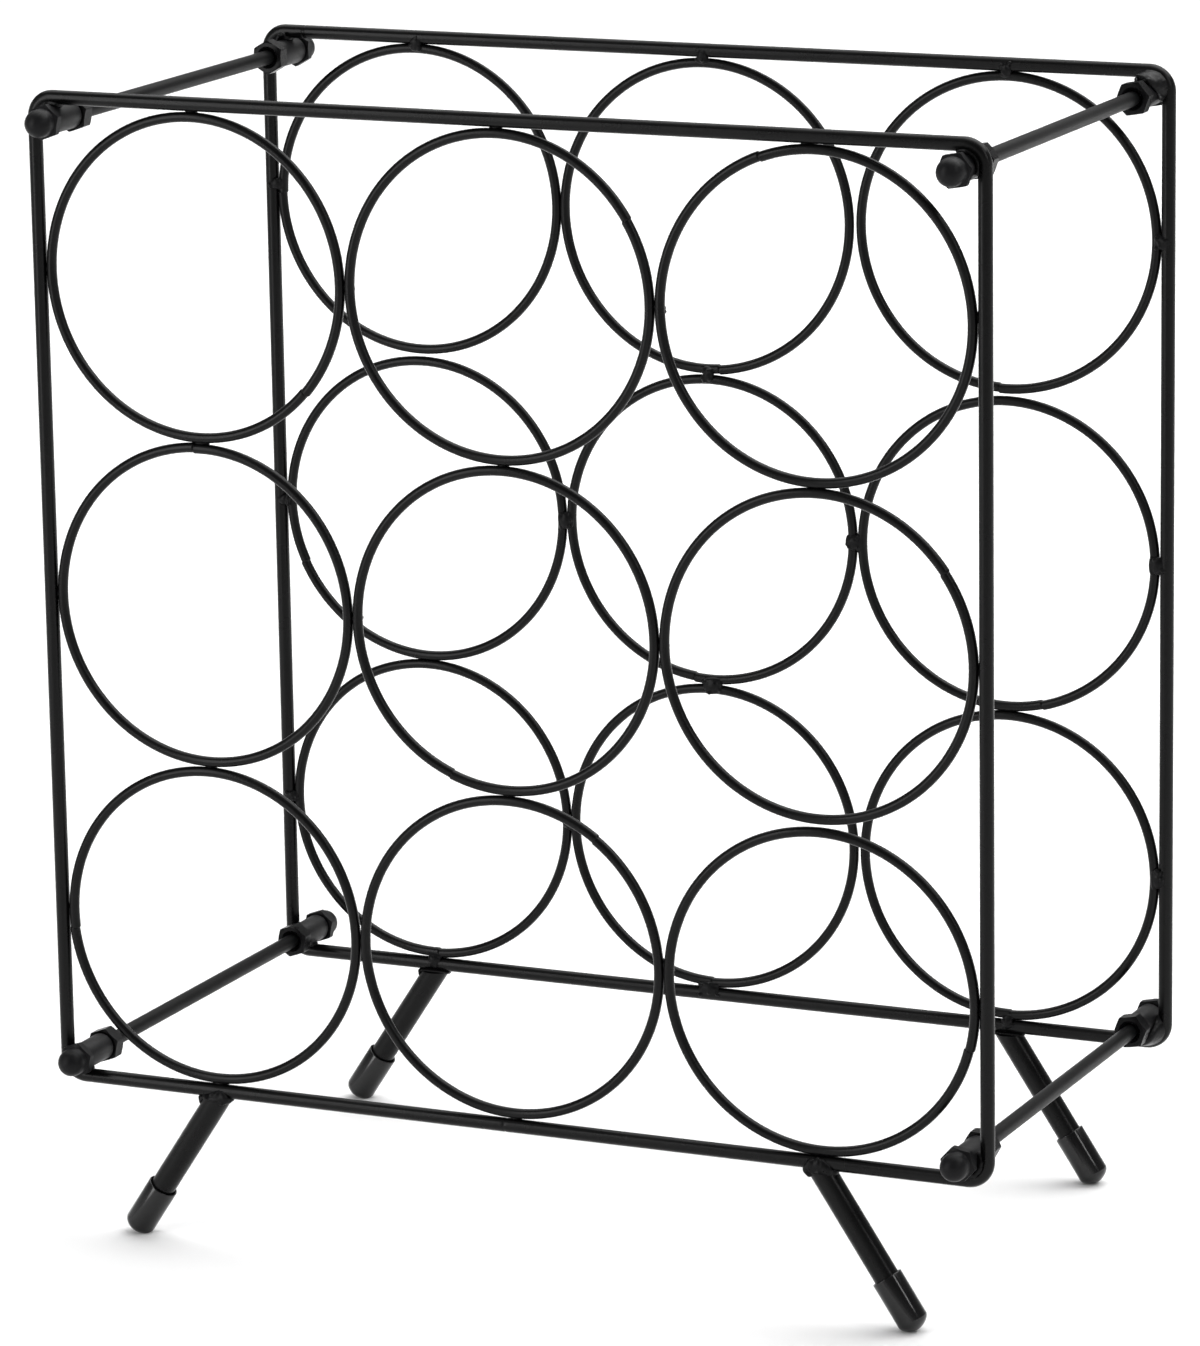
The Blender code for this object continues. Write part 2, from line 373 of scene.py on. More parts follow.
footVinyl = coatMaterial("footVinyl", {
    "dark": (0.0016, 0.0016, 0.0018),
    "light": (0.0026, 0.0026, 0.0028),
    "metallic": 0.0,
    "ior": 1.45,
    "roughness": (0.13, 0.18),
    "peelSize": 500,
    "patchSize": 120,
    "grainSize": 1500,
    "grainAmount": 0.0,
    "bump": 0.1,
    "bumpDepth": 0.0001,
})
print("finishes ready")


# panel frames
frameLook = {
    "bendRadius": 0.006,
    "bendSteps": 14,
    "sides": 32,
    # butt seam of each frame: where along the rail from the middle, and on which rail
    "seam": {"front": (-0.0025, "bottom"), "back": (-0.135, "top")},
    "seamPinch": 0.05,      # share of the wire's thickness lost there
    "seamReach": 0.0001,    # points nearer than this to the seam's middle are pinched
    "seamRows": (0.0010, 0.00035, 0, -0.00035, -0.0010),
}


def framePath(halfX, halfZ, seamX, seamRail):
    points = []
    inX, inZ = halfX - frameLook["bendRadius"], halfZ - frameLook["bendRadius"]
    for quarter in range(4):
        signX = 1 if quarter in (0, 3) else -1
        signZ = 1 if quarter in (0, 1) else -1
        centre = Vector((signX * inX, 0, signZ * inZ))
        for step in range(frameLook["bendSteps"] + 1):
            angle = math.pi / 2 * (quarter + step / frameLook["bendSteps"])
            points.append(centre + frameLook["bendRadius"] * Vector((math.cos(angle), 0, math.sin(angle))))
        if (quarter, seamRail) in ((0, "top"), (2, "bottom")):
            for shift in frameLook["seamRows"]:
                onward = shift if quarter == 0 else -shift
                points.append(Vector((seamX + onward, 0, signZ * halfZ)))
    return points


def frameMesh(name, side):
    low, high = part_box(side + "_frame")
    wire = (high.y - low.y) / 2
    halfX, halfZ = (high.x - low.x) / 2 - wire, (high.z - low.z) / 2 - wire
    seamX, seamRail = frameLook["seam"][side]
    path = framePath(halfX, halfZ, seamX, seamRail)
    seamPoint = Vector((seamX, 0, halfZ if seamRail == "top" else -halfZ))
    radii = []
    for point in path:
        onSeam = (point - seamPoint).length < frameLook["seamReach"]
        radii.append(wire * (1 - frameLook["seamPinch"] if onSeam else 1))
    mesh = wireLoop(name, path, radii, frameLook["sides"])
    return placeMesh(mesh, Matrix.Translation((low + high) / 2))


for side in panelSides:
    addPiece(side + "Frame", frameMesh(side + "Frame", side), wireCoat, side + "_frame")
print("frames built")


# bottle rings
ringLook = {
    "wire": 0.003,
    "steps": 144,
    "sides": 24,
    "grown": 0.0001,            # the rings spring out until they nearly touch
    "seamStep": 0.00016,        # how far the two cut ends of the wire miss each other
    "seamEase": math.radians(40),    # the arc over which that step fades
    "seamLength": 0.0016,
    "seamRows": (0.5, 1, 2),    # rows of points on each side of the seam, in eighths of its length
    "seamClear": 3,             # eighths on each side with no other rows
    "seamWire": 0.86,           # share of the wire's thickness left in the seam
    # rings that sit a little off their place, in X and Z, where a contact was left unwelded
    "nudge": {
        "front": {(1, 3): (0, -0.0003), (2, 3): (0, 0.0004), (3, 3): (0, 0.0002)},
        "back": {(1, 1): (-0.0002, -0.0001), (1, 2): (-0.0004, 0), (1, 3): (0.0002, -0.0001),
                 (2, 1): (0, -0.0004), (2, 3): (0, -0.0004),
                 (3, 1): (-0.0002, 0.0003), (3, 2): (-0.0005, 0), (3, 3): (0.0002, 0.0003)},
    },
    # where each ring's seam lies, counted from its right side over its top
    "seamDegrees": {
        "front": {(3, 1): 318, (3, 2): 31, (3, 3): 110, (2, 1): 92, (2, 2): 248, (2, 3): 35,
                  (1, 1): 186, (1, 2): 54, (1, 3): 345},
        "back": {(3, 1): 180, (3, 2): 275, (3, 3): 267, (2, 1): 205, (2, 2): 263, (2, 3): 284,
                 (1, 1): 272, (1, 2): 269, (1, 3): 271},
    },
}
ringOuter = -2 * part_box("front_ring_22")[0].x      # the middle ring is centred on X = 0
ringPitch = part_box("front_ring_23")[0].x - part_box("front_ring_22")[0].x
ringRadius = (ringOuter - ringLook["wire"]) / 2 + ringLook["grown"]


def ringCentre(side, row, column):
    middle = cadCentre(side + "_frame")
    shiftX, shiftZ = ringLook["nudge"][side].get((row, column), (0, 0))
    return middle + Vector(((column - 2) * ringPitch + shiftX, 0, (row - 2) * ringPitch + shiftZ))


def ringPath(seamAngle):
    # a bent wire whose ends meet with a small step, eased back to the circle on either side
    circle = 2 * math.pi
    eighth = ringLook["seamLength"] / ringRadius / 8
    clear = ringLook["seamClear"] * eighth
    rows = [eighth * k for k in ringLook["seamRows"]]
    angles = [circle * i / ringLook["steps"] for i in range(ringLook["steps"])]
    angles = [a for a in angles if clear < a < circle - clear]
    angles = rows + angles + [circle - row for row in reversed(rows)]
    points, radii = [], []
    for angle in angles:
        away = min(angle, circle - angle)
        ease = max(0, 1 - away / ringLook["seamEase"]) ** 2
        sign = 1 if angle < math.pi else -1
        radius = ringRadius + sign * ease * ringLook["seamStep"]
        turned = angle + seamAngle
        points.append(Vector((radius * math.cos(turned), 0, radius * math.sin(turned))))
        inSeam = away < (rows[0] + rows[1]) / 2
        radii.append(ringLook["wire"] / 2 * (ringLook["seamWire"] if inSeam else 1))
    return points, radii


for side in panelSides:
    for row in ringRows:
        for column in ringRows:
            name = f"{side}Ring{row}{column}"
            points, radii = ringPath(math.radians(ringLook["seamDegrees"][side][(row, column)]))
            mesh = wireLoop(name, points, radii, ringLook["sides"])
            placeMesh(mesh, Matrix.Translation(ringCentre(side, row, column)))
            addPiece(name, mesh, wireCoat, f"{side}_ring_{row}{column}")
print("rings built")


# weld metal between rings and rails
beadLook = {
    "width": 0.0040,      # along the wires
    "reach": 0.0052,      # across the two wires
    "thick": 0.0030,
    "setBack": 0.0011,    # from the panel's plane towards the inside of the rack
    "towardsRail": 0.0007,
    "core": (0.92, 1, 0.9),        # the middle of a nugget, as shares of width, thick and reach
    "coreAstray": 0.0002,
    "flow": (0.85, 0.45),          # the flow onto each wire, as shares of thick and reach
    "flowWidth": (0.9, 1.2),
    "flowAstray": 0.0004,
    "flowBack": 0.0002,
    "flowAt": 0.3,
    "lumps": 8,
    "lumpSize": 0.0013,
    "lumpThick": 0.0014,
    "lumpWidth": (0.7, 1.2),       # least and most, as shares of lumpSize
    "lumpReach": (0.7, 1.3),
    "lumpSpread": (0.42, 0.4),     # over the nugget's width and reach
    "lumpRise": (0.1, 0.36),       # least and most, as shares of thick
    "lumpTurn": 0.6,               # in radians, as the tilt is
    "tilt": 0.12,                  # how far a nugget turns from square
    "overRing": 0.00015,           # from the ring's edge to the nugget's middle
    "grain": 0.00024,
    "rounds": 1,
    # contacts with no weld: row and column of the ring, then the way the contact lies
    "bare": {
        "front": {(1, 3, "top")},
        "back": {(1, 1, "top"), (1, 2, "right"), (1, 3, "top"), (2, 1, "top"), (2, 3, "top"),
                 (3, 1, "right"), (3, 2, "right")},
    },
    # welds that ran out wide, as a share of the usual width
    "wide": {
        "front": {(1, 1, "bottom"): 1.4, (2, 1, "top"): 1.4, (1, 3, "right"): 1.6},
        "back": {(2, 1, "right"): 1.5, (2, 2, "right"): 1.35, (2, 3, "right"): 1.45,
                 (1, 2, "bottom"): 1.9, (1, 2, "top"): 1.8, (1, 3, "right"): 1.6,
                 (1, 1, "bottom"): 1.25, (3, 3, "right"): 1.3},
    },
    # welds that landed off the contact, in X and Z
    "missed": {
        "front": {(3, 3, "top"): (-0.0024, 0), (3, 3, "right"): (0, 0.0026),
                  (1, 2, "right"): (0, 0.0024)},
        "back": {(3, 1, "left"): (0.0004, 0.0028), (2, 2, "right"): (-0.0009, 0),
                 (2, 3, "right"): (-0.0012, 0.0004), (1, 2, "top"): (0.0008, -0.0003),
                 (1, 2, "bottom"): (-0.0016, 0), (3, 1, "top"): (0.0006, -0.0004),
                 (1, 3, "right"): (-0.0005, 0.0006)},
    },
}
contactWays = {"right": (1, 0), "top": (0, 1), "left": (-1, 0), "bottom": (0, -1)}


def beadMesh(share):
    # one nugget, its length along Z across the two wires: a core, a flow to each wire and a few lumps
    width, reach, thick = beadLook["width"] * share, beadLook["reach"], beadLook["thick"]
    coreWidth, coreThick, coreReach = beadLook["core"]
    core = Vector((jitter(beadLook["coreAstray"]), 0, 0))
    lumps = [(core, (width * coreWidth, thick * coreThick, reach * coreReach), noTurn)]
    flowThick, flowReach = beadLook["flow"]
    for way in (-1, 1):
        size = (width * random.uniform(*beadLook["flowWidth"]), thick * flowThick, reach * flowReach)
        across = jitter(beadLook["flowAstray"])
        spot = Vector((across, beadLook["flowBack"], way * reach * beadLook["flowAt"]))
        lumps.append((spot, size, noTurn))
    spreadWidth, spreadReach = beadLook["lumpSpread"]
    for _ in range(beadLook["lumps"]):
        across = jitter(width * spreadWidth)
        rise = thick * random.uniform(*beadLook["lumpRise"])
        spot = Vector((across, -rise, jitter(reach * spreadReach)))
        wide = beadLook["lumpSize"] * random.uniform(*beadLook["lumpWidth"])
        tall = beadLook["lumpSize"] * random.uniform(*beadLook["lumpReach"])
        turn = Matrix.Rotation(jitter(beadLook["lumpTurn"]), 4, "Y")
        lumps.append((spot, (wide, beadLook["lumpThick"], tall), turn))
    return weldMetal("bead", lumps, beadLook["grain"], beadLook["rounds"])


def onRail(row, column, way):
    return (way, column) in (("left", 1), ("right", 3)) or (way, row) in (("bottom", 1), ("top", 3))


def placedBead(side, row, column, way):
    # turned across its contact and set back, with its lumps to the inside of the rack
    place = (row, column, way)
    x, z = contactWays[way]
    inward = -outwardY[side]
    bead = beadMesh(beadLook["wide"][side].get(place, 1))
    turn = Matrix.Rotation(math.atan2(x, z) + jitter(beadLook["tilt"]), 4, "Y")
    facingIn = Matrix.Scale(-inward, 4, (0, 1, 0))
    shift = beadLook["overRing"] + (beadLook["towardsRail"] if onRail(row, column, way) else 0)
    missX, missZ = beadLook["missed"][side].get(place, (0, 0))
    spot = ringCentre(side, row, column) + (ringOuter / 2 + shift) * Vector((x, 0, z))
    spot += Vector((missX, inward * beadLook["setBack"], missZ))
    placeMesh(bead, Matrix.Translation(spot) @ turn @ facingIn)
    if inward > 0:
        bead.flip_normals()
    return bead


for side in panelSides:
    beads = []
    for row in ringRows:
        for column in ringRows:
            for way in contactWays:
                isOwn = way in ("right", "top") or onRail(row, column, way)    # each contact once
                if isOwn and (row, column, way) not in beadLook["bare"][side]:
                    beads.append(placedBead(side, row, column, way))
    addPiece(side + "WeldBeads", joinMeshes(side + "WeldBeads", beads), weldCoat)
print("weld beads built")


# corner collars, nuts and tie rods
boreClearance = 0.0003
nutLook = {
    "flats": 0.0093,
    "cornerSharpness": 60,
    "steps": 120,
    "chamferSlope": 0.55,
    "faceShare": 0.97,      # round face left by the chamfer, as a share of the flats
    "countersink": 0.0009,
    "capCountersink": 0.0004,
    "capHexHeight": 0.0027,
    "capDome": 0.0082,
    # hollow between hexagon and dome: how much wider than the dome, and how far above the hexagon
    "capNeck": ((0.00035, 0.00004), (0.00008, 0.0002), (0, 0.0005)),
    "domeSteps": 14,
    "sharpAbove": 28,       # degrees between faces that still look smooth
    # turn of each nut in degrees, in the order of cornerNames
    "lockTurns": {"front": (20, 10, 20, 0), "back": (30, 10, 20, 10)},
    "capTurns": {"front": (20, 10, 20, -12), "back": (30, 10, 20, 10)},
}
collarLook = {"edge": 0.00035, "edgeSteps": 4, "steps": 64, "sharpAbove": 35}
rodLook = {
    "endChamfer": 0.0004,
    "threadFrom": 0.0002,     # from the lock nut's inner face
    "threadPitch": 0.0008,
    "threadDepth": 0.00028,
    "threadTurns": 5,
    "rowsPerTurn": 8,
    "steps": 40,
    "sharpAbove": 60,
}


def hexRadius(angle, turn):
    # a hexagon whose six corners are slightly rounded
    total = 0
    for k in range(6):
        total += max(0, math.cos(angle - turn - math.pi / 6 - k * math.pi / 3)) ** nutLook["cornerSharpness"]
    return nutLook["flats"] / 2 * total ** (-1 / nutLook["cornerSharpness"])


def hexBand(low, high, turn):
    # the flats of a nut between two chamfers that cut its corners round
    face, steps = nutLook["flats"] / 2 * nutLook["faceShare"], nutLook["steps"]
    lowRing, highRing = [], []
    for k in range(steps):
        angle = 2 * math.pi * k / steps
        radius = hexRadius(angle, turn)
        drop = (radius - face) * nutLook["chamferSlope"]
        spoke = Vector((math.cos(angle), math.sin(angle), 0)) * radius
        lowRing.append(spoke + Vector((0, 0, low + drop)))
        highRing.append(spoke + Vector((0, 0, high - drop)))
    return [circleRing(face, low, steps), lowRing, highRing, circleRing(face, high, steps)]


def lockNutMesh(name, height, bore, turn):
    steps, sink, half = nutLook["steps"], nutLook["countersink"], height / 2
    rings = [circleRing(bore, -half + sink, steps), circleRing(bore + sink, -half, steps)]
    rings += hexBand(-half, half, turn)
    rings += [circleRing(bore + sink, half, steps), circleRing(bore, half - sink, steps)]
    return loftRings(name, rings + [rings[0]], capped=False)


def capNutMesh(name, height, bore, depth, turn):
    # from the bore's cone-shaped end down to the seat, and up over the hexagon and the dome
    steps, sink = nutLook["steps"], nutLook["capCountersink"]
    hexTop, dome = nutLook["capHexHeight"], nutLook["capDome"] / 2
    rings = [[Vector((0, 0, depth + bore / 2))], circleRing(bore, depth, steps)]
    rings += [circleRing(bore, sink, steps), circleRing(bore + sink, 0, steps)]
    rings += hexBand(0, hexTop, turn)
    rings += [circleRing(dome + wider, hexTop + above, steps) for wider, above in nutLook["capNeck"]]
    for step in range(nutLook["domeSteps"]):
        angle = math.pi / 2 * step / nutLook["domeSteps"]
        rings.append(circleRing(dome * math.cos(angle), height - dome + dome * math.sin(angle), steps))
    rings.append([Vector((0, 0, height))])
    return loftRings(name, rings, capped=False)


def collarMesh(name, length, outer, bore):
    steps, edge, half = collarLook["steps"], collarLook["edge"], length / 2
    edgeAngles = [math.pi / 2 * k / collarLook["edgeSteps"] for k in range(collarLook["edgeSteps"] + 1)]
    rings = [circleRing(bore, -half, steps)]
    for a in edgeAngles:
        rings.append(circleRing(outer - edge + edge * math.sin(a), -half + edge - edge * math.cos(a), steps))
    for a in edgeAngles:
        rings.append(circleRing(outer - edge + edge * math.cos(a), half - edge + edge * math.sin(a), steps))
    rings.append(circleRing(bore, half, steps))
    return loftRings(name, rings + [rings[0]], capped=False)


def threadRings(radius, threadFrom, sign):
    # rolled thread that fades in from the plain bar, towards the end that sign gives
    steps, rowsPerTurn = rodLook["steps"], rodLook["rowsPerTurn"]
    rings = []
    for i in range(rodLook["threadTurns"] * rowsPerTurn + 1):
        height = threadFrom + rodLook["threadPitch"] * i / rowsPerTurn
        ring = []
        for k in range(steps):
            wave = (i / rowsPerTurn - sign * k / steps) % 1
            deep = (1 - abs(2 * wave - 1)) * min(1, i / rowsPerTurn)
            r = radius - rodLook["threadDepth"] * deep
            angle = 2 * math.pi * k / steps
            ring.append(Vector((r * math.cos(angle), r * math.sin(angle), sign * height)))
        rings.append(ring)
    return rings


def rodMesh(name, half, radius, threadFrom):
    # plain bar, with a thread just inside each lock nut
    steps, chamfer = rodLook["steps"], rodLook["endChamfer"]
    rings = [circleRing(radius - chamfer, -half, steps), circleRing(radius, -half + chamfer, steps)]
    rings += threadRings(radius, threadFrom, -1)[::-1] + threadRings(radius, threadFrom, 1)
    rings += [circleRing(radius, half - chamfer, steps), circleRing(radius - chamfer, half, steps)]
    return loftRings(name, rings)


def facing(side):
    return Matrix.Rotation(math.pi / 2 * -outwardY[side], 4, "X")


def addHardware(side, corner, lockTurn, capTurn):
    # the collar, the lock nut on its inner end and the cap nut on its outer end
    low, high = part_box(f"{side}_collar_{corner}")
    axis = (low + high) / 2
    rodLow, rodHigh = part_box("tie_rod_" + corner)
    bore = (rodHigh.x - rodLow.x) / 2 + boreClearance
    name = f"{side}Collar_{corner}"
    mesh = collarMesh(name, high.y - low.y, (high.x - low.x) / 2, bore)
    placeMesh(mesh, Matrix.Translation(axis) @ facing(side))
    addPiece(name, mesh, collarCoat, f"{side}_collar_{corner}", smooth=collarLook["sharpAbove"])

    low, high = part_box(f"{side}_lock_nut_{corner}")
    name = f"{side}LockNut_{corner}"
    mesh = lockNutMesh(name, high.y - low.y, bore, math.radians(-outwardY[side] * lockTurn))
    spot = Vector((axis.x, (low.y + high.y) / 2, axis.z))
    placeMesh(mesh, Matrix.Translation(spot) @ facing(side))
    addPiece(name, mesh, nutBlack, f"{side}_lock_nut_{corner}", nutLook["sharpAbove"])

    low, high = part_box(f"{side}_cap_nut_{corner}")
    seat = high.y if side == "front" else low.y
    depth = abs(rodHigh.y - abs(seat)) + boreClearance
    name = f"{side}CapNut_{corner}"
    mesh = capNutMesh(name, high.y - low.y, bore, depth, math.radians(-outwardY[side] * capTurn))
    placeMesh(mesh, Matrix.Translation(Vector((axis.x, seat, axis.z))) @ facing(side))
    addPiece(name, mesh, domeCoat, f"{side}_cap_nut_{corner}", nutLook["sharpAbove"])


for side in panelSides:
    for corner, lockTurn, capTurn in zip(cornerNames, nutLook["lockTurns"][side], nutLook["capTurns"][side]):
        addHardware(side, corner, lockTurn, capTurn)

for corner in cornerNames:
    low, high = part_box("tie_rod_" + corner)
    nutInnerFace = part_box("back_lock_nut_" + corner)[0].y
    threadFrom = nutInnerFace + rodLook["threadFrom"]
    mesh = rodMesh("tieRod_" + corner, high.y, (high.x - low.x) / 2, threadFrom)
    placeMesh(mesh, Matrix.Translation((low + high) / 2) @ facing("front"))
    addPiece("tieRod_" + corner, mesh, rodCoat, "tie_rod_" + corner, smooth=rodLook["sharpAbove"])
print("collars, nuts and tie rods built")


# weld fillets at the collars
cornerWeldLook = {
    "grain": 0.0003,
    "lumps": 13,
    "bead": 0.0030,      # thickness of the fillet between collar and bend
    "from": -14,         # where the fillet starts and ends round the collar, in degrees
    "to": 104,
    "lumpShape": (0.85, 1.1, 0.85),
    "swell": (0.72, 0.35),   # a lump's size at the ends of the fillet, and what its middle adds
    "thinner": 0.25,         # share of a lump's size that is lost at the fillet's inner end
    "tuckedIn": 0.7,         # share of its spread that is lost there
    "fullFrom": 1.5,         # how soon it reaches its full length, going round to the level rail
    "layerEvery": 0.0006,    # spacing of the layers along the collar
    "startDepth": -0.0002,
    "standOff": 0.0003,      # from the collar's skin
    "spatter": {("back", "top_right"): 9, ("back", "top_left"): 4, ("front", "bottom_right"): 4},
    "spatterFrom": 55,       # the part of the collar that it lies on, in degrees
    "spatterTo": 100,
    "spatterSize": 0.0014,
    "spatterSizes": (0.8, 1.3),       # least and most, as shares of spatterSize
    "spatterRise": 0.0012,
    "spatterRises": (0.6, 1.6),
    "spatterInwards": 0.0016,
    "spatterRun": (0.5, 1.1),         # how far along the weld's run it lies
    # how far each weld runs inwards along its collar, how heavy it is, how far it spreads over the wire,
    # how rough it is, and how often it is smoothed
    "front": {
        "top_left": (0.0012, 1.15, 0.0006, 0.1, 4),
        "top_right": (0.0010, 1.0, 0.0006, 0.1, 4),
        "bottom_left": (0.0010, 1.0, 0.0006, 0.1, 4),
        "bottom_right": (0.0016, 1.2, 0.0008, 0.1, 4),
    },
    "back": {
        "top_left": (0.0018, 0.95, 0.0008, 0.08, 5),
        "top_right": (0.0060, 1.4, 0.0018, 0.05, 5),
        "bottom_left": (0.0012, 1.0, 0.0006, 0.1, 4),
        "bottom_right": (0.0072, 1.45, 0.0020, 0.03, 14),
    },
}


def cornerWeldMesh(name, side, corner):
    # a fillet laid round the collar where it lies in the frame's bend
    look = cornerWeldLook
    run, heavy, spread, rough, rounds = look[side][corner]
    low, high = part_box(f"{side}_collar_{corner}")
    collarRadius = (high.x - low.x) / 2
    inward = -outwardY[side]
    signX = -1 if "left" in corner else 1
    signZ = 1 if "top" in corner else -1
    middle = Vector(((low.x + high.x) / 2, cadCentre(side + "_frame").y, (low.z + high.z) / 2))

    def spokeAt(degrees):
        angle = math.radians(degrees)
        return Vector((signX * math.cos(angle), 0, signZ * math.sin(angle)))

    lumps = []
    layers = 1 + int(run / look["layerEvery"])
    endSize, middleSize = look["swell"]
    for k in range(look["lumps"]):
        share = k / (look["lumps"] - 1)
        spoke = spokeAt(look["from"] + (look["to"] - look["from"]) * share)
        bulge = math.sin(math.pi * (0.1 + 0.8 * share)) ** 0.6      # fullest halfway round
        reach = math.sin(math.pi / 2 * min(1, look["fullFrom"] * share))
        for layer in range(layers + 1):
            deep = layer / layers
            depth = look["startDepth"] + run * reach * deep
            out = collarRadius + look["standOff"] + spread * bulge * (1 - look["tuckedIn"] * deep)
            size = look["bead"] * heavy * (endSize + middleSize * bulge) * (1 - look["thinner"] * deep)
            size *= 1 + jitter(rough)
            spot = middle + Vector((0, inward * depth, 0)) + spoke * out
            lumps.append((spot, [size * part for part in look["lumpShape"]], noTurn))
    for _ in range(look["spatter"].get((side, corner), 0)):
        spoke = spokeAt(random.uniform(look["spatterFrom"], look["spatterTo"]))
        spot = middle + Vector((0, inward * run * random.uniform(*look["spatterRun"]), 0))
        spot += spoke * (collarRadius + look["spatterRise"] * random.uniform(*look["spatterRises"]))
        spot += Vector((0, inward * look["spatterInwards"], 0))
        size = look["spatterSize"] * random.uniform(*look["spatterSizes"])
        lumps.append((spot, (size, size, size), noTurn))
    return weldMetal(name, lumps, look["grain"], rounds)


for side in panelSides:
    for corner in cornerNames:
        name = f"{side}CornerWeld_{corner}"
        addPiece(name, cornerWeldMesh(name, side, corner), weldCoat)
print("corner welds built")


# legs and foot caps
legHands = {"left": -1, "right": 1}
legLook = {
    "splay": math.radians(33.5),
    "bar": 0.0075,
    "barRows": 10,
    "capOuter": 0.0092,
    "capLength": 0.0174,
    "capSole": 0.0025,
    "capLip": 0.00025,
    "lipSteps": 6,
    "capDome": 0.0031,     # height of the domed end
    "capRound": {"left": 2.0, "right": 1.65},    # 2 is an ellipse, less is nearer a cone
    "domeSteps": 20,
    "gap": 0.0003,
    "steps": 64,
    "barSharpAbove": 40,
    "capSharpAbove": 50,
}


def cutBelow(mesh, height):
    # trims a mesh flat at a height and closes the cut
    shape = bmesh.new()
    shape.from_mesh(mesh)
    geometry = shape.verts[:] + shape.edges[:] + shape.faces[:]
    cut = bmesh.ops.bisect_plane(
        shape, geom=geometry, plane_co=(0, 0, height), plane_no=(0, 0, -1), clear_outer=True,
    )
    edges = [e for e in cut["geom_cut"] if isinstance(e, bmesh.types.BMEdge)]
    bmesh.ops.holes_fill(shape, edges=edges)
    bmesh.ops.recalc_face_normals(shape, faces=shape.faces)
    shape.to_mesh(mesh)
    shape.free()
    return mesh


def cutAbove(mesh, height):
    # the same upside down
    mesh.transform(Matrix.Scale(-1, 4, (0, 0, 1)))
    cutBelow(mesh, -height)
    mesh.transform(Matrix.Scale(-1, 4, (0, 0, 1)))
    mesh.flip_normals()
    return mesh


def footCapMesh(name, roundness):
    # from the bottom of the socket up its wall, over the lip and down the outside to the domed end
    steps, length, lip = legLook["steps"], legLook["capLength"], legLook["capLip"]
    outer, inner = legLook["capOuter"] / 2, legLook["bar"] / 2 + legLook["gap"]
    rings = [[Vector((0, 0, legLook["capSole"]))], circleRing(inner, legLook["capSole"], steps)]
    rings.append(circleRing(inner, length - lip, steps))
    for step in range(legLook["lipSteps"] + 1):
        angle = math.pi * step / legLook["lipSteps"]
        radius = (inner + outer) / 2 - (outer - inner) / 2 * math.cos(angle)
        rings.append(circleRing(radius, length - lip + lip * math.sin(angle), steps))
    for step in range(legLook["domeSteps"]):
        angle = math.pi / 2 * step / legLook["domeSteps"]
        across, along = math.cos(angle) ** (2 / roundness), math.sin(angle) ** (2 / roundness)
        rings.append(circleRing(outer * across, legLook["capDome"] * (1 - along), steps))
    rings.append([Vector((0, 0, 0))])
    return loftRings(name, rings, capped=False)


def addLeg(side, hand, sign):
    # a bar cut off level under the rail, and its foot cap cut off level at the floor
    low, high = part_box(f"{side}_leg_{hand}")
    splay, bar = legLook["splay"], legLook["bar"] / 2
    endX = high.x - bar * math.cos(splay) if sign > 0 else low.x + bar * math.cos(splay)
    end = Vector((endX, (low.y + high.y) / 2, low.z + bar * math.sin(splay)))
    lean = Matrix.Rotation(-sign * splay, 4, "Y")
    reach = (high.z - end.z) / math.cos(splay) + 2 * bar
    heights = [reach * i / legLook["barRows"] for i in range(legLook["barRows"] + 1)]
    name = f"{side}Leg_{hand}"
    mesh = loftRings(name, [circleRing(bar, height, legLook["steps"]) for height in heights])
    placeMesh(mesh, Matrix.Translation(end) @ lean)
    cutAbove(mesh, high.z)
    addPiece(name, mesh, wireCoat, f"{side}_leg_{hand}", smooth=legLook["barSharpAbove"])

    up = Vector((-sign * math.sin(splay), 0, math.cos(splay)))
    tip = end - up * (legLook["capSole"] + legLook["gap"])
    name = f"{side}FootCap_{hand}"
    mesh = placeMesh(footCapMesh(name, legLook["capRound"][hand]), Matrix.Translation(tip) @ lean)
    cutBelow(mesh, 0)
    addPiece(name, mesh, footVinyl, f"{side}_foot_cap_{hand}", legLook["capSharpAbove"])


for side in panelSides:
    for hand, sign in legHands.items():
        addLeg(side, hand, sign)
print("legs and foot caps built")


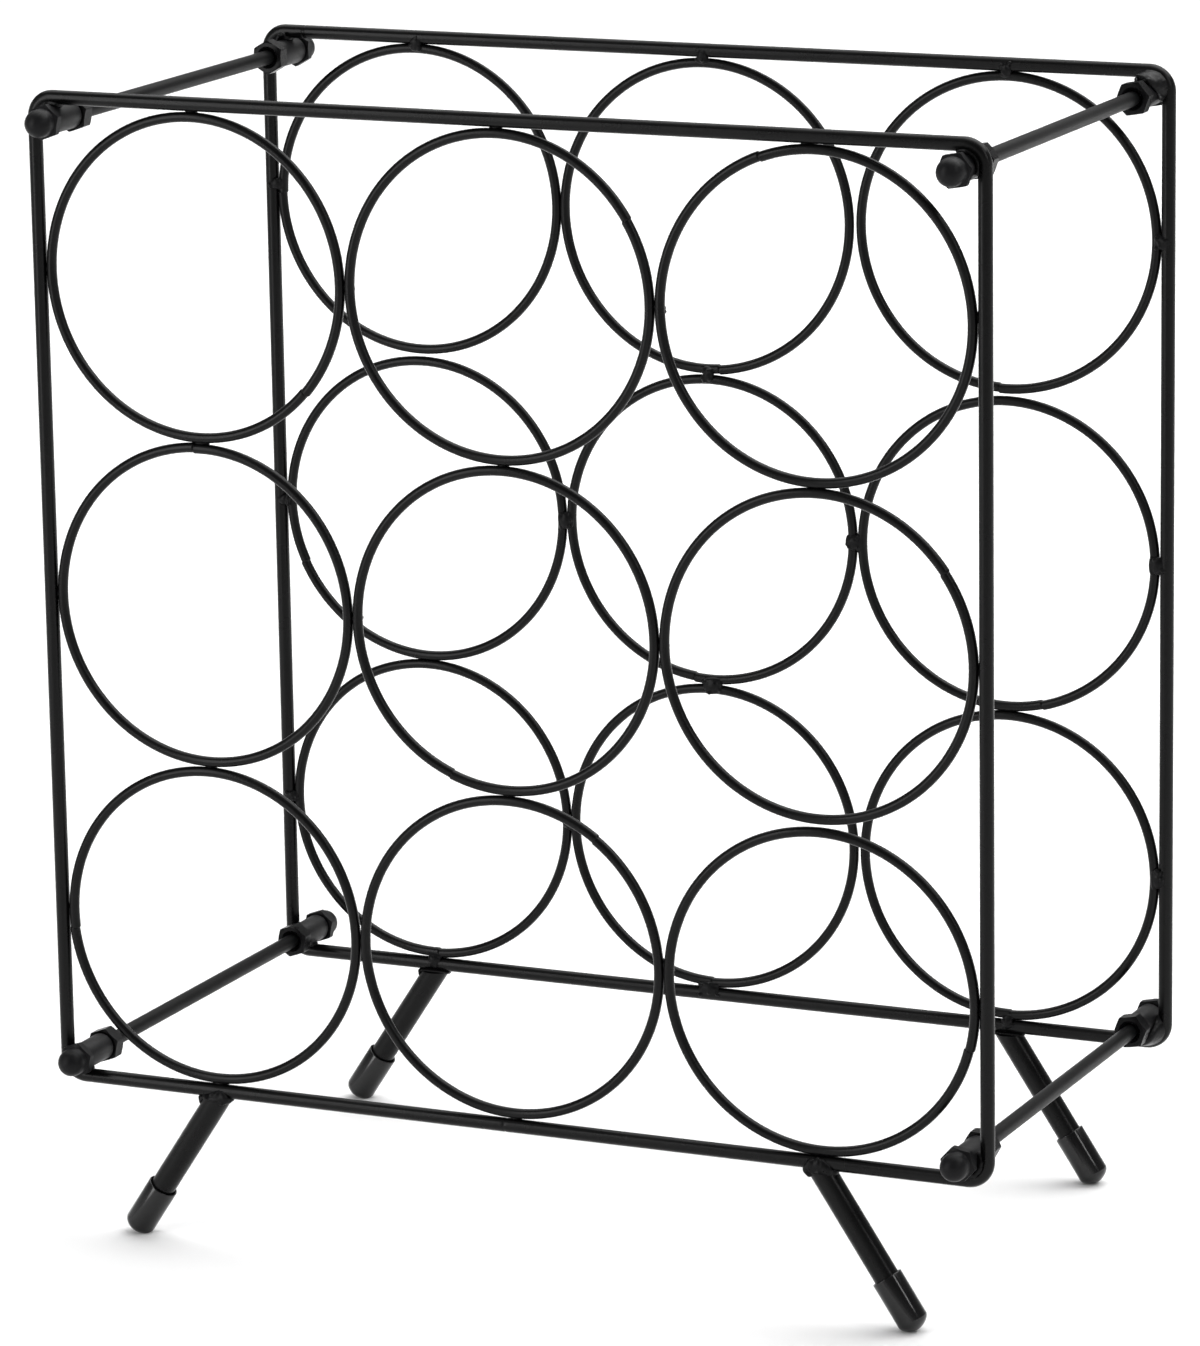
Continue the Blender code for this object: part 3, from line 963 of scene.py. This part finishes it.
# welds at the top of the legs
legWeldLook = {
    "grain": 0.0003,
    "rounds": 4,
    "rough": 0.1,            # how much the lumps differ in size
    "ledgeRough": 0.12,
    "puddleTurn": 0.2,       # in radians
    # metal in the joint between the leg's cut end and the rail: count, width, depth and height of its
    # lumps, and the share of the leg's width that they cover
    "joint": (9, 0.0024, 0.0036, 0.0016, 0.86),
    # fillet on the ledge under the rail: count and size of its lumps, the share of the leg that it goes
    # round, and how far it draws in from the leg's edge
    "ledge": (11, 0.0019, 0.9, 0.95),
    "ledgeRows": ((0.68, -0.0001), (0.5, 0.0006)),    # share of the leg's depth, and height
    # puddle on the outer face of the rail: count, width, least and extra depth, lowest point, the height
    # that it has without climbing, and how far out it lies as a share of the rail's radius
    "puddle": (8, 0.0026, 0.0026, 0.0004, -0.0012, 0.0018, 0.86),
    # the part of the leg's width over which the puddle climbs the rail, and how high: 0 is the rail's
    # lower edge, 1 its middle
    "climb": {
        "front_left": (-0.25, 0.75, 1.25), "front_right": (-0.9, 0.6, 1.85),
        "back_left": (-0.7, 0.7, 0.8), "back_right": (-0.7, 0.7, 0.9),
    },
    "spatter": 9,
    "spatterSize": (0.0012, 0.0011, 0.0012),
    "spatterLow": -0.0012,
    "spatterHigh": 0.8,      # as a share of the puddle's climb
    "spatterOut": 1.38,      # as a share of the rail's radius
    # two lumps in the angle to the left of the leg: their size, then where each lies, its width as a
    # share of that size, and its depth
    "flare": {"front_left": 0.0026, "back_left": 0.0016},
    "flareLumps": ((-0.0008, -0.0004, 1, 0.0034), (-0.0007, -0.0013, 0.85, 0.0038)),
}


def legWeldMesh(name, side, hand, sign):
    low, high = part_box(f"{side}_leg_{hand}")
    frameLow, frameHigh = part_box(side + "_frame")
    rail = (frameHigh.y - frameLow.y) / 2
    bar = legLook["bar"] / 2
    halfTop = bar / math.cos(legLook["splay"])
    middle = low.x + halfTop if sign > 0 else high.x - halfTop
    joint = Vector((middle, (low.y + high.y) / 2, high.z))
    out = outwardY[side]
    lumps = []

    count, wide, deep, tall, cover = legWeldLook["joint"]
    for k in range(count):
        across = 2 * k / (count - 1) - 1
        size = wide * (1 + jitter(legWeldLook["rough"]))
        lumps.append((joint + Vector((halfTop * cover * across, 0, 0)), (size, deep, tall), noTurn))

    count, wide, cover, drawnIn = legWeldLook["ledge"]
    for k in range(count):
        across = (2 * k / (count - 1) - 1) * cover
        legDepth = out * bar * math.sqrt(1 - across * across)
        size = wide * (1 + jitter(legWeldLook["ledgeRough"]))
        for share, rise in legWeldLook["ledgeRows"]:
            spot = joint + Vector((halfTop * drawnIn * across, legDepth * share, rise))
            lumps.append((spot, (size * 1.1, size, size), noTurn))

    start, end, climb = legWeldLook["climb"][f"{side}_{hand}"]
    count, wide, deep, deeper, bottom, least, onFace = legWeldLook["puddle"]
    for k in range(count):
        share = k / (count - 1)
        bulge = math.sin(math.pi * (0.2 + 0.6 * share))      # highest in the middle
        tall = rail * climb * bulge + least
        across = halfTop * (start + (end - start) * share)
        spot = joint + Vector((across, out * rail * onFace, tall / 2 + bottom))
        size = (wide, deep + deeper * bulge, tall * (1 + jitter(legWeldLook["rough"])))
        lumps.append((spot, size, Matrix.Rotation(jitter(legWeldLook["puddleTurn"]), 4, "Y")))

    for _ in range(legWeldLook["spatter"]):
        across = halfTop * random.uniform(start, end)
        rise = random.uniform(legWeldLook["spatterLow"], rail * climb * legWeldLook["spatterHigh"])
        spot = joint + Vector((across, out * rail * legWeldLook["spatterOut"], rise))
        lumps.append((spot, legWeldLook["spatterSize"], noTurn))

    flare = legWeldLook["flare"].get(f"{side}_{hand}")
    if flare:
        for beside, rise, share, deep in legWeldLook["flareLumps"]:
            spot = joint + Vector((-halfTop + beside, 0, rise))
            lumps.append((spot, (flare * share, deep, flare), noTurn))
    return weldMetal(name, lumps, legWeldLook["grain"], legWeldLook["rounds"])


for side in panelSides:
    for hand, sign in legHands.items():
        name = f"{side}LegWeld_{hand}"
        addPiece(name, legWeldMesh(name, side, hand, sign), weldCoat)
print("leg welds built")


# floor, light and camera
studio = {
    "floorSize": 16,
    "floorColour": (0.96, 0.96, 0.96),
    "floorRoughness": 0.9,
    "floorShine": 0.1,
    # sine of the elevation, and how bright the surround is there
    "sky": [(0.0, 0.85), (0.08, 0.80), (0.22, 0.34), (0.55, 0.14), (0.82, 0.22), (1.0, 1.0)],
    "wattsPerArea": 4,      # that make a sheet of brightness 1
    # place, point it faces, width, height, brightness
    "lights": {
        "keySheet": ((-0.80, -1.14, 0.56), (0, 0, 0.25), 0.42, 1.3, 4.0),
        "rightStrip": ((1.33, -0.44, 1.05), (0.1, 0, 0.1), 0.14, 0.8, 7.0),
        "ceilingLeft": ((-1.4, 1.80, 2.3), (-1.4, 1.95, 0), 2.0, 3.2, 1.3),
        "ceilingRight": ((1.0, 1.70, 2.3), (1.0, 1.85, 0), 2.8, 3.4, 2.7),
    },
}
view = {
    "azimuth": -24.559,
    "elevation": 13.225,
    "roll": -0.922,
    "distance": 1.964,
    "lens": 176.45,
    "sensor": 36,
    "farClip": 60,
    "aim": (-0.0042, 0, -0.02895),   # from the middle of the frames
}


def addFloor():
    bpy.ops.mesh.primitive_plane_add(size=studio["floorSize"], location=(0, 0, 0))
    floor = bpy.context.object
    floor.name = "floor"
    material = bpy.data.materials.new("paleFloor")
    material.use_nodes = True
    shader = material.node_tree.nodes["Principled BSDF"]
    shader.inputs["Base Color"].default_value = (*studio["floorColour"], 1)
    shader.inputs["Roughness"].default_value = studio["floorRoughness"]
    shader.inputs["Specular IOR Level"].default_value = studio["floorShine"]
    floor.data.materials.append(material)


def addSky():
    world = bpy.data.worlds.new("studioSky")
    bpy.context.scene.world = world
    world.use_nodes = True
    tree = world.node_tree
    place = tree.nodes.new("ShaderNodeTexCoord")
    parts = tree.nodes.new("ShaderNodeSeparateXYZ")
    ramp = tree.nodes.new("ShaderNodeValToRGB")
    ramp.color_ramp.elements.remove(ramp.color_ramp.elements[1])
    for k, (height, bright) in enumerate(studio["sky"]):
        stop = ramp.color_ramp.elements[0] if k == 0 else ramp.color_ramp.elements.new(height)
        stop.position = height
        stop.color = (bright, bright, bright, 1)
    tree.links.new(place.outputs["Generated"], parts.inputs[0])
    tree.links.new(parts.outputs["Z"], ramp.inputs["Fac"])
    tree.links.new(ramp.outputs["Color"], tree.nodes["Background"].inputs["Color"])


def addLights():
    for name, (place, target, width, height, bright) in studio["lights"].items():
        light = bpy.data.lights.new(name, "AREA")
        light.shape = "RECTANGLE"
        light.size = width
        light.size_y = height
        light.energy = studio["wattsPerArea"] * width * height * bright
        lamp = bpy.data.objects.new(name, light)
        bpy.context.scene.collection.objects.link(lamp)
        lamp.location = place
        lamp.rotation_euler = (Vector(place) - Vector(target)).to_track_quat("Z", "Y").to_euler()
        lamp.visible_camera = False


def addCamera(middle):
    azimuth, elevation, roll = (math.radians(view[k]) for k in ("azimuth", "elevation", "roll"))
    level = math.cos(elevation)
    look = Vector((math.sin(azimuth) * level, math.cos(azimuth) * level, -math.sin(elevation)))
    right = look.cross(Vector((0, 0, 1))).normalized()
    down = look.cross(right).normalized()
    rolledRight = math.cos(roll) * right - math.sin(roll) * down
    rolledDown = math.sin(roll) * right + math.cos(roll) * down
    camera = bpy.data.objects.new("camera", bpy.data.cameras.new("camera"))
    bpy.context.scene.collection.objects.link(camera)
    camera.data.lens = view["lens"]
    camera.data.sensor_width = view["sensor"]
    camera.data.sensor_fit = "AUTO"
    camera.data.clip_end = view["farClip"]
    turn = Matrix((rolledRight, -rolledDown, -look)).transposed().to_4x4()
    camera.matrix_world = Matrix.Translation(middle + Vector(view["aim"]) - look * view["distance"]) @ turn
    bpy.context.scene.camera = camera


rackMiddle = (cadCentre("front_frame") + cadCentre("back_frame")) / 2
addFloor()
addSky()
addLights()
addCamera(rackMiddle)
bpy.context.scene.view_settings.view_transform = "Standard"
print("floor, lights and camera set")
